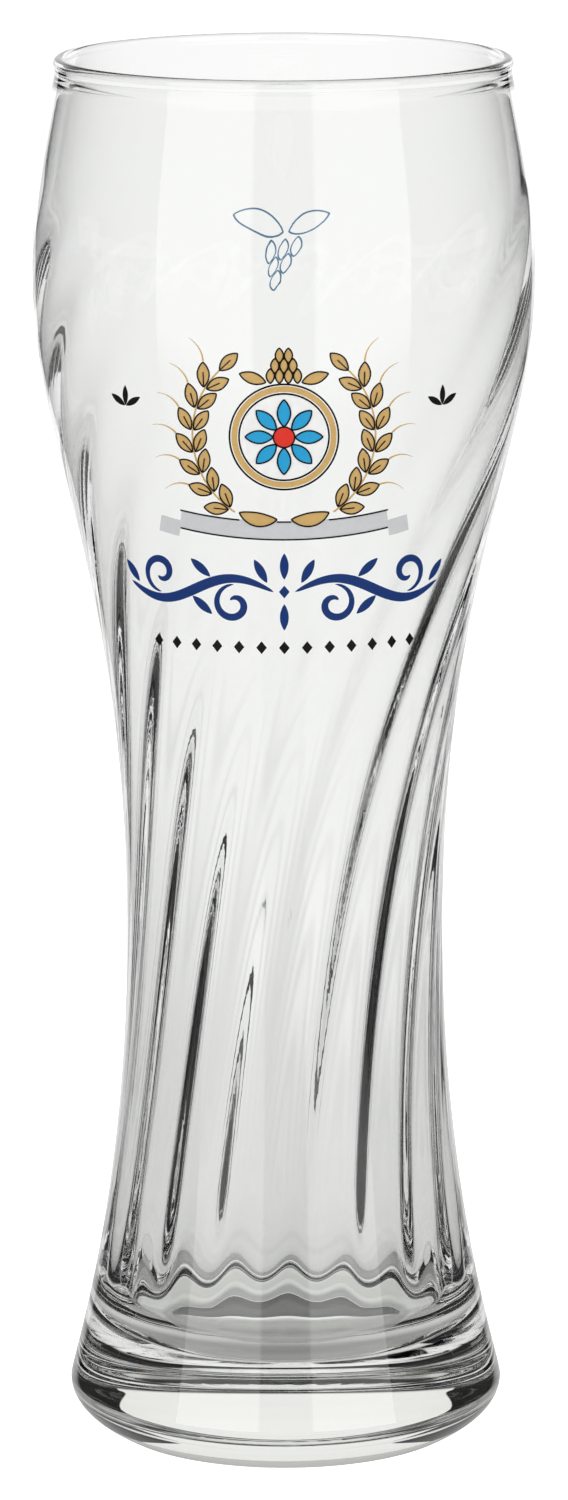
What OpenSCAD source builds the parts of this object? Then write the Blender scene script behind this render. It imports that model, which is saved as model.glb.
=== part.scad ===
// Tall wheat-beer glass with swirled ribs inside the wall and a fired print on the bowl.
// Origin: middle of the foot, on the table. +Z is up and the print faces -Y.

/* [Glass outline] */
// Height from the table to the top of the lip
glass_h = 240; // [232:1:252]
// Outer radius of the flat ring that the glass stands on
rest_r = 30.4; // [27:0.1:34]
// Width of the flat ring that the glass stands on
rest_w = 3.2; // [1:0.1:6]
// Depth of the hollow under the foot
punt_h = 2.2; // [0.5:0.1:5]
// How far the rounded lower edge of the foot runs out before it climbs
bevel_out = 3; // [1:0.1:4]
// How far the rounded lower edge of the foot climbs on that first run
bevel_up = 1.6; // [0.5:0.1:3]
// Straight pull on the outline below the foot's widest point
bevel_pull = 4; // [2:0.1:6]
// Largest outer radius of the foot
foot_r = 37.7; // [35:0.1:41]
// Height of the foot's widest point
foot_z = 8.2; // [6:0.1:11]
// Straight pull on the outline above the foot's widest point
foot_pull = 2.5; // [1:0.1:6]
// Outer radius of the waist
waist_r = 27.4; // [25:0.1:30]
// Height of the waist
waist_z = 89.4; // [80:0.1:98]
// Straight pull on the outline below the waist
stem_pull = 48.9; // [35:0.1:58]
// Straight pull on the outline above the waist
flare_pull = 62; // [45:0.1:70]
// Largest outer radius of the bowl
bowl_r = 42.9; // [40:0.1:47]
// Drop from the top of the lip to the bowl's widest point
bowl_drop = 37.6; // [32:0.1:46]
// Straight pull on the outline below the bowl's widest point
belly_pull = 29.7; // [18:0.1:38]
// Straight pull on the outline above the bowl's widest point
shoulder_pull = 10.3; // [4:0.1:14]

/* [Lip] */
// Outer radius of the rounded lip
lip_r = 39.1; // [36.5:0.1:40]
// Thickness of the rounded lip
lip_t = 2.1; // [1.6:0.1:3]
// How far the lip stands out over the wall below it
lip_stand = 0.3; // [0.1:0.05:0.6]
// Height over which the wall thickens into the lip
lip_grow = 4; // [2:0.5:8]
// How far the wall leans in on the last stretch up to the lip
lip_lean = 4; // [2:0.1:5]
// Length of that last stretch
lean_pull = 20; // [12:0.5:24]

/* [Wall and well] */
// Wall thickness at the bowl's widest point
bowl_wall = 1.5; // [1.1:0.1:2.4]
// Wall thickness at the waist
waist_wall = 3; // [2.2:0.1:5]
// Wall thickness where the well ends in the foot
floor_wall = 6; // [4:0.1:9]
// Height of the floor of the well above the table
floor_z = 16; // [12:0.5:22]
// Radius of the rounded corner between the floor and the wall of the well
floor_fillet = 10; // [5:0.5:14]

/* [Swirled ribs] */
// Number of ribs round the inside
ribs = 18; // [8:1:20]
// Height of a rib over the mean wall at the floor of the well
rib_foot_h = 0.1; // [0.05:0.05:0.6]
// Height of a rib over the mean wall where it stands out most
rib_full_h = 0.8; // [0.1:0.05:1]
// Height at which the ribs stand out most
rib_full_z = 45; // [35:1:80]
// Height of a rib over the mean wall at the bowl's widest point
rib_bowl_h = 0.12; // [0.04:0.02:0.6]
// Height at which the ribs start to turn
swirl_z = 16; // [8:1:80]
// Drop from the top of the lip to the height at which the ribs have faded out
rib_drop = 16; // [10:1:28]
// Height over which the ribs fade out
rib_fade = 22; // [8:1:40]
// Turn of each rib from its foot to its top, in degrees
swirl_turn = 112; // [0:1:150]
// Direction of the first rib at its foot, in degrees from the front
rib_from = 0; // [-20:1:20]

/* [Print] */
// Thickness of one film of fired colour
print_t = 0.06; // [0.04:0.01:0.1]
// Space kept under each film of colour
print_gap = 0.05; // [0.04:0.01:0.1]
// Clear space between neighbouring printed forms
print_space = 0.15; // [0.1:0.05:0.4]
// Half width of a thin printed line
line_half = 0.16; // [0.1:0.02:0.3]

/* [Wreath] */
// Drop from the top of the lip to the middle of the wreath
wreath_drop = 59; // [56:0.5:63]
// Outer radius of the round medal in the wreath
medal_r = 8.8; // [7:0.1:9.5]
// Width of the medal's rim
medal_rim = 1; // [0.6:0.1:1.6]
// Length of a petal of the rosette
petal_l = 4.6; // [3:0.1:5]
// Width of a petal of the rosette
petal_w = 2.2; // [1:0.1:2.4]
// Number of petals of the rosette
petals = 8; // [5:1:9]
// Radius of the rosette's eye
eye_r = 1.7; // [1:0.1:2.2]
// Radius of the arc that each ear of barley follows
ear_r = 15.6; // [14.5:0.1:17]
// Number of grain pairs in each ear
grain_pairs = 7; // [4:1:7]
// Length of a grain
grain_l = 4.2; // [3:0.1:4.4]
// Width of a grain
grain_w = 2.1; // [1.2:0.1:2.2]
// Length of the bristle on each outer grain
awn_l = 4.6; // [2:0.1:6]
// Length of a leaf at the foot of the wreath
leaf_l = 6.4; // [4:0.1:6.6]
// Width of a leaf at the foot of the wreath
leaf_w = 2.4; // [1.6:0.1:2.6]
// Height of the hop cone over the medal
cone_h = 7; // [5:0.1:7.4]
// Width of the hop cone over the medal
cone_w = 6; // [4:0.1:7]
// Length of the leaf on each side of the hop cone
cone_leaf = 4.6; // [3:0.1:5]

/* [Ribbon] */
// Drop from the middle of the wreath to the ribbon's middle
ribbon_drop = 16.4; // [15.6:0.1:18]
// Length of the ribbon round the bowl
ribbon_l = 36; // [28:0.5:40]
// Height of the ribbon band
ribbon_w = 3.4; // [2:0.1:3.8]
// How far the ribbon's ends rise over its middle
ribbon_rise = 1.4; // [0:0.1:2]
// Length of the folded tail at each end of the ribbon
tail_l = 6; // [4:0.1:8]

/* [Scrollwork] */
// Drop from the ribbon's middle to the middle of the scrollwork
scroll_drop = 10.8; // [9.8:0.1:12.6]
// Reach of the scrollwork to each side
scroll_l = 29; // [24:0.5:31]
// Height of the wave that the main vine makes
vine_rise = 2.2; // [1:0.1:3]
// Largest half width of the main vine
vine_half = 0.9; // [0.4:0.05:1.1]
// Outer radius of the large spirals
spiral_r = 3.5; // [2.5:0.1:3.8]
// Length of the leaves on the vine
sprig_l = 4.6; // [3:0.1:5.5]
// Width of the leaves on the vine
sprig_w = 1.5; // [0.8:0.1:2]
// Drop from the middle of the scrollwork to the row of small diamonds
row_drop = 9.9; // [8.8:0.1:11.8]
// Length of the row of small diamonds
row_l = 46; // [30:1:50]
// Number of diamonds in the row
row_count = 13; // [5:2:15]
// Width of a diamond
diamond_w = 1.8; // [1:0.1:2.4]
// Height of a diamond
diamond_h = 2.2; // [1:0.1:2.6]

/* [Side and rear prints] */
// Distance of the small side sprigs from the front
side_s = 28.6; // [27:0.1:32]
// Climb from the middle of the wreath to the small side sprigs
side_climb = 4; // [0:0.5:9]
// Length of a leaf of the small side sprigs
side_leaf = 3.4; // [2:0.1:4]
// Drop from the top of the lip to the middle of the rear print
rear_drop = 43; // [38:0.5:46]
// Height of the rear hop cone
rear_h = 13; // [10:0.5:15]
// Width of the rear hop cone
rear_w = 9; // [6:0.5:11]
// Length of the rear leaves
rear_leaf = 8.5; // [5:0.5:10]
// Width of the rear leaves
rear_leaf_w = 4; // [2:0.1:5]

/* [Hidden] */
$fn = 96;

// Steps along each curve of the outline
bevel_steps = 8;
stem_steps = 16;
flare_steps = 18;
shoulder_steps = 9;
punt_steps = 6;
lip_step_turn = 15;
lip_start_turn = -30;
// Points round one rib, and rings up the wall of the well
points_per_rib = 6;
well_rings = 33;
fillet_steps = 5;
// Radii of the rings on the flat floor of the well
floor_ring_shares = [0.3, 0.65];
// The rounded lip is left this much proud of the well, so that the two meet on a clean edge
lip_seam = 0.03;
overrun = 0.4;
// Half width of a printed point, where a leaf or a line ends
point_half = 0.06;
// Shape of a leaf, grain or petal: below one is fuller
leaf_power = 0.75;
vine_power = 0.5;

function bezier(a, b, c, d, t) =
    pow(1 - t, 3) * a + 3 * pow(1 - t, 2) * t * b + 3 * (1 - t) * t * t * c + pow(t, 3) * d;
function curve(a, b, c, d, steps) = [for (i = [1 : steps]) bezier(a, b, c, d, i / steps)];
function ease(x) = let (t = max(0, min(1, x))) t * t * (3 - 2 * t);
function unit(v) = v / norm(v);

// Heights that follow the top of the lip
bowl_z = glass_h - bowl_drop;
rib_top_z = glass_h - rib_drop;
wreath_z = glass_h - wreath_drop;
ribbon_z = wreath_z - ribbon_drop;
scroll_z = ribbon_z - scroll_drop;
row_z = scroll_z - row_drop;
side_z = wreath_z + side_climb;
rear_z = glass_h - rear_drop;

lip_mid_r = lip_r - lip_t / 2;
lip_mid_z = glass_h - lip_t / 2;
lip_root = [lip_r - lip_stand, glass_h - 1.2 * lip_t];
punt_r = rest_r - rest_w;

punt_points = [for (i = [0 : punt_steps])
    [punt_r * i / punt_steps, punt_h * (1 - pow(i / punt_steps, 2))]];
bevel_points = curve([rest_r, 0], [rest_r + bevel_out, bevel_up],
    [foot_r, foot_z - bevel_pull], [foot_r, foot_z], bevel_steps);
stem_points = curve([foot_r, foot_z], [foot_r, foot_z + foot_pull],
    [waist_r, waist_z - stem_pull], [waist_r, waist_z], stem_steps);
flare_points = curve([waist_r, waist_z], [waist_r, waist_z + flare_pull],
    [bowl_r, bowl_z - belly_pull], [bowl_r, bowl_z], flare_steps);
shoulder_points = curve([bowl_r, bowl_z], [bowl_r, bowl_z + shoulder_pull],
    [lip_root[0] + lip_lean, lip_root[1] - lean_pull], lip_root, shoulder_steps);
wall_points = concat(bevel_points, stem_points, flare_points, shoulder_points);
lip_points = [for (a = [lip_start_turn : lip_step_turn : 180])
    [lip_mid_r + lip_t / 2 * cos(a), lip_mid_z + lip_t / 2 * sin(a)]];

// Outer radius of the wall at a height, on the same straight stretches as the solid
wall_table = [for (p = concat(wall_points, [[lip_r, lip_mid_z]])) [p[1], p[0]]];
function wall_r(z) = lookup(z, wall_table);

// Thickness of the wall at a height, without the ribs
function wall_t(z) =
    bowl_wall
    + (waist_wall - bowl_wall) * ease((bowl_z - z) / (bowl_z - waist_z))
    + (floor_wall - waist_wall) * pow(max(0, (waist_z - z) / (waist_z - floor_z)), 3)
    + (lip_t + lip_seam - bowl_wall) * ease((z - lip_mid_z + lip_grow) / lip_grow);

// Height of the ribs: full low on the stem, less in the bowl and at the floor
function rib_h(z) =
    (rib_bowl_h
     + (rib_full_h - rib_bowl_h) * ease((bowl_z - z) / (bowl_z - rib_full_z))
     - (rib_full_h - rib_foot_h) * ease((rib_full_z - z) / (rib_full_z - floor_z)))
    * ease((rib_top_z - z) / rib_fade);
function rib_turn(z) =
    rib_from - 90 + swirl_turn * pow(max(0, min(1, (z - swirl_z) / (rib_top_z - swirl_z))), 2);

// One ring of the well: each is a height, a mean radius and a rib height
function ring_of(z) = [z, wall_r(z) - wall_t(z), rib_h(z)];
well_z = floor_z + floor_fillet;
well_foot = ring_of(well_z);
floor_r = well_foot[1] - floor_fillet;
floor_rings = [for (share = floor_ring_shares) [floor_z, floor_r * share, 0]];
fillet_rings = [for (i = [0 : fillet_steps - 1]) let (a = 90 * i / fillet_steps)
    [well_z - floor_fillet * cos(a), floor_r + floor_fillet * sin(a), well_foot[2] * sin(a)]];
wall_rings = [for (i = [0 : well_rings]) ring_of(well_z + (lip_mid_z - well_z) * i / well_rings)];
mouth_ring = [lip_mid_z + overrun * lip_t, wall_rings[well_rings][1], 0];
well_rows = concat(floor_rings, fillet_rings, wall_rings, [mouth_ring]);

function ring_points(ring) =
    [for (k = [0 : ribs * points_per_rib - 1])
        let (a = rib_turn(ring[0]) + 360 * k / (ribs * points_per_rib),
             r = ring[1] + ring[2] * cos(360 * k / points_per_rib))
        [r * cos(a), r * sin(a), ring[0]]];

module swirled_well() {
    m = ribs * points_per_rib;
    n = len(well_rows);
    points = concat([for (row = well_rows) each ring_points(row)],
        [[0, 0, well_rows[0][0]], [0, 0, well_rows[n - 1][0]]]);
    sides = [for (i = [0 : n - 2], k = [0 : m - 1])
        let (a = i * m + k, b = i * m + (k + 1) % m) each [[a, a + m, b + m], [a, b + m, b]]];
    floor_fan = [for (k = [0 : m - 1]) [n * m, k, (k + 1) % m]];
    mouth_fan = [for (k = [0 : m - 1]) [n * m + 1, (n - 1) * m + (k + 1) % m, (n - 1) * m + k]];
    polyhedron(points, concat(sides, floor_fan, mouth_fan), convexity = 8);
}

module glass_body() {
    color([0.84, 0.91, 0.9])
    difference() {
        rotate_extrude()
            polygon(concat(punt_points, [[rest_r, 0]], wall_points, lip_points, [[0, lip_mid_z]]));
        swirled_well();
    }
}

// Prints are drawn flat, as [distance round the bowl from the front, height],
// and wrapped on the wall. Films of one layer lie side by side.
function film_low(layer) = layer * print_gap + (layer - 1) * print_t;
function on_wall(p, h) =
    let (r = wall_r(p[1]), a = p[0] / r * 180 / PI) [(r + h) * sin(a), -(r + h) * cos(a), p[1]];

// A film of ink over rows of points, each row running to the right of the way they follow
module ink(rows, layer, ring = false) {
    n = len(rows);
    m = len(rows[0]);
    far = n * m;
    points = [for (h = [film_low(layer), film_low(layer) + print_t], row = rows, p = row)
        on_wall(p, h)];
    last = ring ? n - 1 : n - 2;
    skins = [for (i = [0 : last], j = [0 : m - 2])
        let (a = i * m + j, b = (i + 1) % n * m + j)
        each [[far + a, far + b, far + b + 1], [far + a, far + b + 1, far + a + 1],
              [a, a + 1, b + 1], [a, b + 1, b]]];
    edges = [for (i = [0 : last])
        let (a = i * m, b = (i + 1) % n * m, c = a + m - 1, d = b + m - 1)
        each [[far + b, far + a, a], [far + b, a, b], [far + c, far + d, d], [far + c, d, c]]];
    ends = ring ? [] : [for (j = [0 : m - 2])
        let (a = j, b = (n - 1) * m + j)
        each [[far + a, far + a + 1, a + 1], [far + a, a + 1, a],
              [far + b + 1, far + b, b], [far + b + 1, b, b + 1]]];
    polyhedron(points, concat(skins, edges, ends), convexity = 4);
}

// Rows across a path, to the given half widths
function band_rows(path, halves, ring = false) =
    let (n = len(path))
    [for (i = [0 : n - 1])
        let (to = ring ? path[(i + 1) % n] : path[min(i + 1, n - 1)],
             from = ring ? path[(i + n - 1) % n] : path[max(i - 1, 0)],
             t = unit(to - from), side = [-t[1], t[0]])
        [path[i] + side * halves[i], path[i] - side * halves[i]]];

module line(path, layer, half = line_half, ring = false)
    ink(band_rows(path, [for (p = path) half], ring), layer, ring);

// Half widths of a form that swells from a point and ends in a point
function swell(half, steps, power) =
    [for (i = [0 : steps]) max(point_half, half * pow(max(0, sin(180 * i / steps)), power))];

// A leaf, grain or petal from a point, in a direction, bent to one side by bend
module leaf(from, turn, length, width, layer, bend = 0, steps = 4) {
    along = [cos(turn), sin(turn)];
    side = [-sin(turn), cos(turn)];
    path = [for (i = [0 : steps]) from + along * length * i / steps
        + side * bend * sin(180 * i / steps)];
    ink(band_rows(path, swell(width / 2, steps, leaf_power)), layer);
}

module swelling_line(path, half, layer)
    ink(band_rows(path, swell(half, len(path) - 1, vine_power)), layer);

module disc(middle, r, layer, steps = 8, columns = 5) {
    tip = 10;
    rows = [for (i = [0 : steps])
        let (a = tip + (180 - 2 * tip) * i / steps)
        [for (j = [0 : columns])
            middle + [r * sin(a) * (2 * j / columns - 1), -r * cos(a)]]];
    ink(rows, layer);
}

function circle_path(middle, r, steps) =
    [for (i = [0 : steps - 1]) middle + r * [cos(360 * i / steps), sin(360 * i / steps)]];
function spiral_path(middle, r_from, r_to, a_from, a_to, steps) =
    [for (i = [0 : steps])
        let (t = i / steps, a = a_from + (a_to - a_from) * t, r = r_from + (r_to - r_from) * t)
        middle + r * [cos(a), sin(a)]];

module both_sides() {
    children();
    mirror([1, 0, 0]) children();
}

// Parts of the wreath
wreath = [0, wreath_z];
medal_steps = 32;
medal_field_r = medal_r - medal_rim - 2 * print_space - 2 * line_half;
petal_from_r = eye_r + print_space;
ear_from = -58;
ear_to = 46;
ear_steps = 9;
grain_tilt = 33;
first_grain_share = 0.3;
awn_tilt = 16;
cone_rows = 3;
cone_foot = wreath + [0, medal_r + print_space + 2 * line_half];
cone_leaf_turn = 18;
foot_leaf_turn = 10;
function round_at(turn) = [cos(turn), sin(turn)];

// Places of the grains up one ear: the stem's direction from the medal, and a seat beside it
function ear_turn(i) =
    ear_from + (ear_to - ear_from) * (i + first_grain_share) / (grain_pairs + first_grain_share);
function grain_seat(i, side) =
    wreath + (ear_r + side * (line_half + print_space)) * round_at(ear_turn(i));

module print_white() color("white") disc(wreath, medal_field_r, 1);

module print_gold() color([0.79, 0.66, 0.42]) {
    line(circle_path(wreath, medal_r - medal_rim / 2, medal_steps), 1, medal_rim / 2, true);
    both_sides() {
        line([for (i = [0 : ear_steps])
            wreath + ear_r * round_at(ear_from + (ear_to - ear_from) * i / ear_steps)], 1);
        for (i = [0 : grain_pairs - 1], side = [-1, 1])
            leaf(grain_seat(i, side), ear_turn(i) + 90 - side * grain_tilt, grain_l, grain_w, 1);
        leaf(wreath + ear_r * round_at(ear_to) + print_space * round_at(ear_to + 90), ear_to + 90,
            grain_l, grain_w, 1);
        for (i = [1 : grain_pairs - 1]) {
            turn = ear_turn(i) + 90 - grain_tilt;
            line([for (t = [0 : 2]) grain_seat(i, 1) + (grain_l + print_space) * round_at(turn)
                + awn_l * t / 2 * round_at(turn - awn_tilt * t)], 1);
        }
        leaf(wreath + [leaf_w / 2, leaf_w / 2 - ear_r], foot_leaf_turn, leaf_l, leaf_w, 1,
            -leaf_w / 4);
        leaf(cone_foot + [cone_w / 2, print_space], cone_leaf_turn, cone_leaf, leaf_w * 0.8, 1);
    }
    cone(cone_foot, cone_h, cone_w, 1);
}

// A hop cone of overlapping scales, each row of scales narrower than the one below
module cone(from, height, width, layer) {
    scale_h = height / (cone_rows + 1);
    scale_w = width / (cone_rows + 1);
    for (row = [0 : cone_rows - 1], k = [0 : cone_rows - row]) {
        count = cone_rows - row;
        leaf(from + [scale_w * (k - count / 2), row * scale_h], 90,
            scale_h * 1.5 - print_space, scale_w - print_space, layer, 0, 3);
    }
}

module print_blue() color([0.16, 0.62, 0.84])
    for (i = [0 : petals - 1]) {
        turn = 90 + 360 * i / petals;
        leaf(wreath + petal_from_r * [cos(turn), sin(turn)], turn, petal_l, petal_w, 2);
    }

module print_red() color([0.85, 0.2, 0.15]) disc(wreath, eye_r, 2, 6, 2);

// The ribbon's height at a distance from its middle
function ribbon_path(from, to, steps, lift) =
    [for (i = [0 : steps]) let (s = from + (to - from) * i / steps)
        [s, ribbon_z + ribbon_rise * pow(2 * s / ribbon_l, 2) + lift]];

module print_grey() color([0.8, 0.8, 0.81]) {
    band = ribbon_path(-ribbon_l / 2, ribbon_l / 2, 16, 0);
    ink(band_rows(band, [for (p = band) ribbon_w / 2]), 2);
    both_sides() {
        tail = ribbon_path(ribbon_l / 2 - tail_l / 3, ribbon_l / 2 + tail_l * 2 / 3, 4, -ribbon_w / 2);
        ink(band_rows(tail, [for (p = tail) ribbon_w / 2.4]), 1);
    }
}

// The vine waves once on its way out. A spiral branches off each crest and curls inside it.
vine_steps = 16;
spiral_steps = 14;
spiral_sweep = 400;
crest_shares = [0.25, 0.75];
sprig_shares = [0.04, 0.4, 0.52, 0.93];
sprig_turns = [62, 40, -140, 50];
function vine_at(share) =
    [diamond_w + (scroll_l - diamond_w) * share, scroll_z + vine_rise * sin(360 * share)];

module print_navy() color([0.13, 0.21, 0.46]) {
    both_sides() {
        swelling_line([for (i = [0 : vine_steps]) vine_at(i / vine_steps)], vine_half, 1);
        for (k = [0, 1]) {
            up = 1 - 2 * k;
            middle = vine_at(crest_shares[k]) - [0, up * (spiral_r + vine_half + print_space)];
            swelling_line(spiral_path(middle, spiral_r, spiral_r / 4, up * 90,
                up * (90 - spiral_sweep), spiral_steps), vine_half * 0.7, 1);
        }
        for (k = [0 : len(sprig_shares) - 1])
            leaf(vine_at(sprig_shares[k]) + [0, sign(sprig_turns[k]) * (vine_half + print_space)],
                sprig_turns[k], sprig_l, sprig_w, 1);
    }
    leaf([0, scroll_z + diamond_h], 90, sprig_l, sprig_w, 1);
    leaf([0, scroll_z - diamond_h], -90, sprig_l, sprig_w, 1);
    diamond([0, scroll_z], diamond_w, diamond_h, 1);
}

module diamond(at, width, height, layer)
    ink([for (t = [-1 : 1]) let (half = max(point_half, (1 - abs(t)) * width / 2))
        [at + [-half, t * height / 2], at + [half, t * height / 2]]], layer);

module print_black() color([0.12, 0.1, 0.1]) {
    line(circle_path(wreath, medal_r + print_space + line_half, medal_steps), 1, line_half, true);
    line(circle_path(wreath, medal_field_r + print_space + line_half, medal_steps), 1,
        line_half, true);
    for (lift = [-1, 1])
        line(ribbon_path(-ribbon_l / 2, ribbon_l / 2, 12, lift * (ribbon_w / 2 - line_half)), 3);
    for (i = [0 : row_count - 1])
        diamond([row_l * (i / (row_count - 1) - 0.5), row_z], diamond_w, diamond_h, 1);
    both_sides()
        for (turn = [-60, 0, 60])
            leaf([side_s, side_z] + print_space * [sin(turn), cos(turn)], 90 - turn,
                side_leaf, side_leaf / 3, 1, 0, 3);
}

// Rear print: the outline of a hop cone between two leaves
module leaf_outline(from, turn, length, width, layer, steps = 6) {
    along = [cos(turn), sin(turn)];
    side = [-sin(turn), cos(turn)];
    path = [for (i = [0 : 2 * steps - 1])
        let (t = i < steps ? i / steps : (2 * steps - i) / steps, way = i < steps ? 1 : -1)
        from + along * length * t + side * way * width / 2 * sin(180 * t)];
    line(path, layer, line_half, true);
}

rear_rows = 3;
rear_leaf_turn = 18;
module rear_print() color([0.43, 0.6, 0.76])
    rotate([0, 0, 180]) {
        foot = [0, rear_z + rear_h / 2];
        scale_h = rear_h / (rear_rows + 1);
        scale_w = rear_w / rear_rows;
        for (row = [0 : rear_rows - 1], k = [0 : rear_rows - 1 - row])
            leaf_outline(foot + [scale_w * (k - (rear_rows - 1 - row) / 2), -row * scale_h], -90,
                scale_h * 1.5 - 4 * line_half, scale_w - 4 * line_half, 1, 4);
        both_sides()
            leaf_outline(foot + [4 * line_half, rear_leaf_w / 3], rear_leaf_turn, rear_leaf,
                rear_leaf_w, 1);
    }

glass_body();
print_white();
print_gold();
print_blue();
print_red();
print_grey();
print_navy();
print_black();
rear_print();
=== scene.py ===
from bisect import bisect_left
from math import cos, hypot, pi, radians, sin

import bmesh
import bpy
from bpy.props import FloatProperty, FloatVectorProperty, IntProperty, PointerProperty
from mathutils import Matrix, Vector


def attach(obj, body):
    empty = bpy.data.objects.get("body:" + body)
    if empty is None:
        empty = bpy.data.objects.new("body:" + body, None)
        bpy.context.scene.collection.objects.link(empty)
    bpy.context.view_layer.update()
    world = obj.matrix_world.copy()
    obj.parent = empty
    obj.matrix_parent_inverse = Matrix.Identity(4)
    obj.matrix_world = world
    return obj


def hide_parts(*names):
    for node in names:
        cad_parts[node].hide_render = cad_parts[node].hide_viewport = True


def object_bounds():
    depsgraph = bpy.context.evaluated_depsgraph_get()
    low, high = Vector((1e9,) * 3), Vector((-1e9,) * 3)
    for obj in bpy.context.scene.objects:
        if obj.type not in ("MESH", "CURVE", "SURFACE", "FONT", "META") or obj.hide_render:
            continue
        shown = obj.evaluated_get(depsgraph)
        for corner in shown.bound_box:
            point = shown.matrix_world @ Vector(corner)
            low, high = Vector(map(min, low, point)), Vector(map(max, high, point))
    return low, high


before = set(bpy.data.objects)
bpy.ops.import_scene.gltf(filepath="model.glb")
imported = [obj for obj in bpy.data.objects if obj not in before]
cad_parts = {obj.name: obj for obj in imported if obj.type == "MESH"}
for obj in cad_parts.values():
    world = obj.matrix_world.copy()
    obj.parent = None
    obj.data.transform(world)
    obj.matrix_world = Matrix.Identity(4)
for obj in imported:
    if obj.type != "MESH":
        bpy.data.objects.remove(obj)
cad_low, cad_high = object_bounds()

bl_info = {
    "name": "Wheat Beer Glass",
    "version": (1, 0, 0),
    "blender": (4, 5, 0),
    "location": "View3D > Sidebar > Glass",
    "description": "Builds a tall swirled beer glass with a fired print round its packed frame",
    "category": "Add Mesh",
}

MM = 0.001
TOUCH = 0.001 * MM  # points closer than this are one point
WHITE = (1, 1, 1, 1)
TURNS_PER_RIB = 16  # steps of the spin for each rib

# Turns of the print's forms, in degrees
EAR_START = -58
EAR_END = 46
GRAIN_LEAN = 33
BRISTLE_BEND = 32
FOOT_LEAF_TURN = 10
CONE_LEAF_TURN = 18
SPIRAL_END = 310
SIDE_SPREAD = 60

# Shares and counts that shape the print's forms
EAR_STALK = 0.3  # bare stalk under the first grains, in steps from pair to pair
BRISTLE_TAPER = 0.8  # of a bristle's width, lost on the way to its end
LEAF_POWER = 0.75  # under 1 makes a leaf's tips blunter
LEAF_STEPS = 14
VINE_POWER = 0.5
VINE_STEPS = 48
CONE_ROWS = 3
SCALE_OVERLAP = 1.5  # length of a cone's scale, in rows
CONE_LEAF_SLIM = 0.8
FINE_SHARE = 0.8  # half width of an outline, as a share of a plain line's
VEIN_SHARE = 0.6  # of a grain's length, with the line along its middle
TAIL_SHOWN = 2 / 3  # of a tail, the rest is folded under
TAIL_HALF = 1 / 2.4  # half height of a tail, as a share of the ribbon's height
SPIRAL_SLIM = 0.7
SPRIGS = ((0.04, 62), (0.4, 40), (0.52, -140), (0.93, 50))  # share of the vine, turn
OVER_RIBBON = 0.25  # level at which the gold leaves lie over the ribbon
TIP = 0.03 * MM  # half width left at a pointed tip

# Grain of the fired enamel
MOTTLE_SCALE = 900
GRAIN_SCALE = 2600
GRAIN_GLOSS = 0.16  # most that the roughness changes from grain to grain
GRAIN_BUMP = 0.25
GRAIN_DEPTH = 0.02 * MM
ENAMEL_SHINE = 0.2


def length(name, default, about):
    return FloatProperty(name=name, description=about, default=default, unit="LENGTH", precision=5)


def angle(name, default, about):
    return FloatProperty(name=name, description=about, default=radians(default), subtype="ANGLE")


def colour(name, default, about):
    return FloatVectorProperty(
        name=name, description=about, default=default, subtype="COLOR", min=0, max=1
    )


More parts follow.
